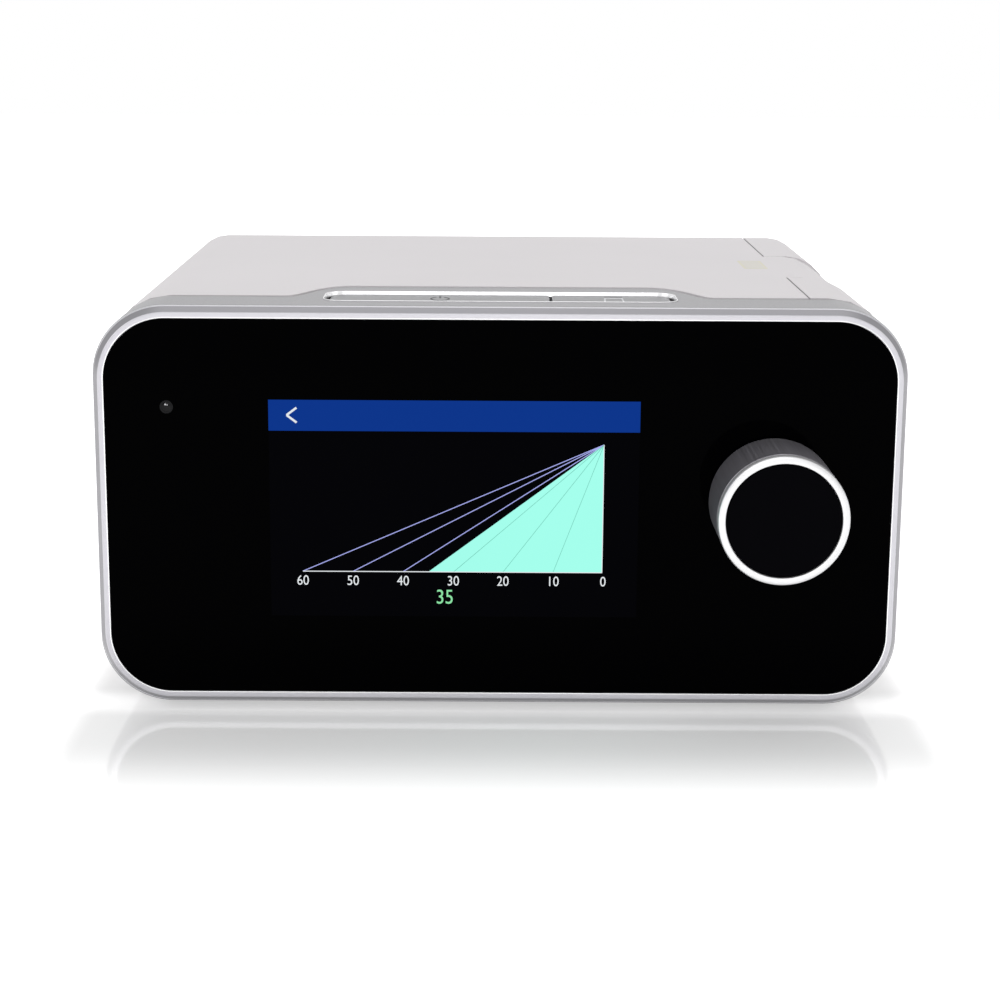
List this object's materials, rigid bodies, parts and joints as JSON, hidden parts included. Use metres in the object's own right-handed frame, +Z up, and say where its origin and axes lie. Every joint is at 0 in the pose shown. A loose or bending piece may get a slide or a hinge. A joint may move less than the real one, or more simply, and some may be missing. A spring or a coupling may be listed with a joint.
{
  "type": "cpap machine",
  "caption": "Low rounded bedside breathing machine with a black glass front, a turning push knob, two top buttons, a side water tank drawer and a rear hose outlet.",
  "frame": {"origin": "on the table under the middle of the overall box, from the knob at the front to the hose outlet at the back", "axes": "+X to the right as seen from the front, +Y towards the back, +Z up; the glass front faces -Y"},
  "size_m": [0.2054, 0.2166, 0.1054],
  "materials": {
    "black_glass": "opaque black cover glass, mirror gloss",
    "bright_bezel": "bright silver paint, fine satin",
    "satin_frame": "satin grey-silver paint",
    "screen_module": "dark panel in a metal rim",
    "steel": "plated steel",
    "circuit_board": "green solder mask",
    "dark_plastic": "fine moulded texture",
    "knob_satin": "dark anodised, fine turned lines",
    "knob_chrome": "bright turned ring",
    "knob_black": "smooth black, soft gloss",
    "shell_white": "warm white moulded, fine texture",
    "rubber": "matt",
    "silicone": "translucent grey silicone",
    "filter_foam": "open-cell foam",
    "motor_steel": "laminated steel can",
    "grey_plastic": "moulded",
    "heater_aluminium": "ground plate",
    "tank_clear": "smoky clear plastic"
  },
  "bodies": {
    "housing": {"front_glass": "black_glass", "bezel_ring": "bright_bezel", "front_frame": "satin_frame", "lcd_module": "screen_module", "display_bracket": "steel", "display_board": "circuit_board", "light_sensor": "dark_plastic", "encoder_body": "steel", "power_switch": "dark_plastic", "menu_switch": "dark_plastic", "button_board": "circuit_board", "top_shell": "shell_white", "base_shell": "shell_white", "case_screw_1": "steel", "case_screw_2": "steel", "case_screw_3": "steel", "case_screw_4": "steel", "rubber_foot_1": "rubber", "rubber_foot_2": "rubber", "rubber_foot_3": "rubber", "rubber_foot_4": "rubber", "rear_cover": "shell_white", "air_filter": "filter_foam", "blower_lower": "dark_plastic", "blower_upper": "dark_plastic", "blower_mount_1": "silicone", "blower_mount_2": "silicone", "blower_mount_3": "silicone", "blower_mount_4": "silicone", "motor_stator": "motor_steel", "inlet_silencer": "dark_plastic", "inlet_duct": "silicone", "flow_sensor": "circuit_board", "outlet_duct": "silicone", "outlet_elbow": "grey_plastic", "air_outlet_port": "shell_white", "main_board": "circuit_board", "power_jack": "dark_plastic", "card_reader": "steel", "tank_bay": "grey_plastic", "heater_plate": "heater_aluminium", "heater_gasket": "silicone", "inlet_seal": "silicone", "outlet_seal": "silicone"},
    "knob_stem": {"encoder_shaft": "steel"},
    "knob": {"knob_skirt": "knob_satin", "knob_ring": "knob_chrome", "knob_face": "knob_black"},
    "power_key": {"power_button": "satin_frame"},
    "menu_key": {"menu_button": "satin_frame"},
    "tank": {"tank_tub": "tank_clear", "tank_base_plate": "steel", "tank_seal": "silicone", "tank_lid": "tank_clear", "tank_side_cover": "shell_white"},
    "rotor": {"impeller": "grey_plastic", "motor_shaft": "steel"},
    "filter_lid": {"filter_cover": "shell_white"}
  },
  "joints": [
    {"name": "knob_push", "type": "slide", "parent": "housing", "child": "knob_stem", "axis": [0, 1, 0], "range_m": [0, 0.0007], "stiffness_N_per_m": 3000, "springref_m": -0.0004},
    {"name": "knob_spin", "type": "hinge", "parent": "knob_stem", "child": "knob", "pos_m": [0.06906, -0.094, 0.0566], "axis": [0, 1, 0], "continuous": true},
    {"name": "power_press", "type": "slide", "parent": "housing", "child": "power_key", "axis": [0, 0, -1], "range_m": [0, 0.0005], "stiffness_N_per_m": 2000, "springref_m": -0.0004},
    {"name": "menu_press", "type": "slide", "parent": "housing", "child": "menu_key", "axis": [0, 0, -1], "range_m": [0, 0.0005], "stiffness_N_per_m": 2000, "springref_m": -0.0004},
    {"name": "tank_slide", "type": "slide", "parent": "housing", "child": "tank", "axis": [1, 0, 0], "range_m": [0, 0.07]},
    {"name": "rotor_spin", "type": "hinge", "parent": "housing", "child": "rotor", "pos_m": [-0.046, 0.008, 0.05], "axis": [0, 0, 1], "continuous": true},
    {"name": "filter_pull", "type": "slide", "parent": "housing", "child": "filter_lid", "axis": [0, 1, 0], "range_m": [0, 0.012]}
  ]
}
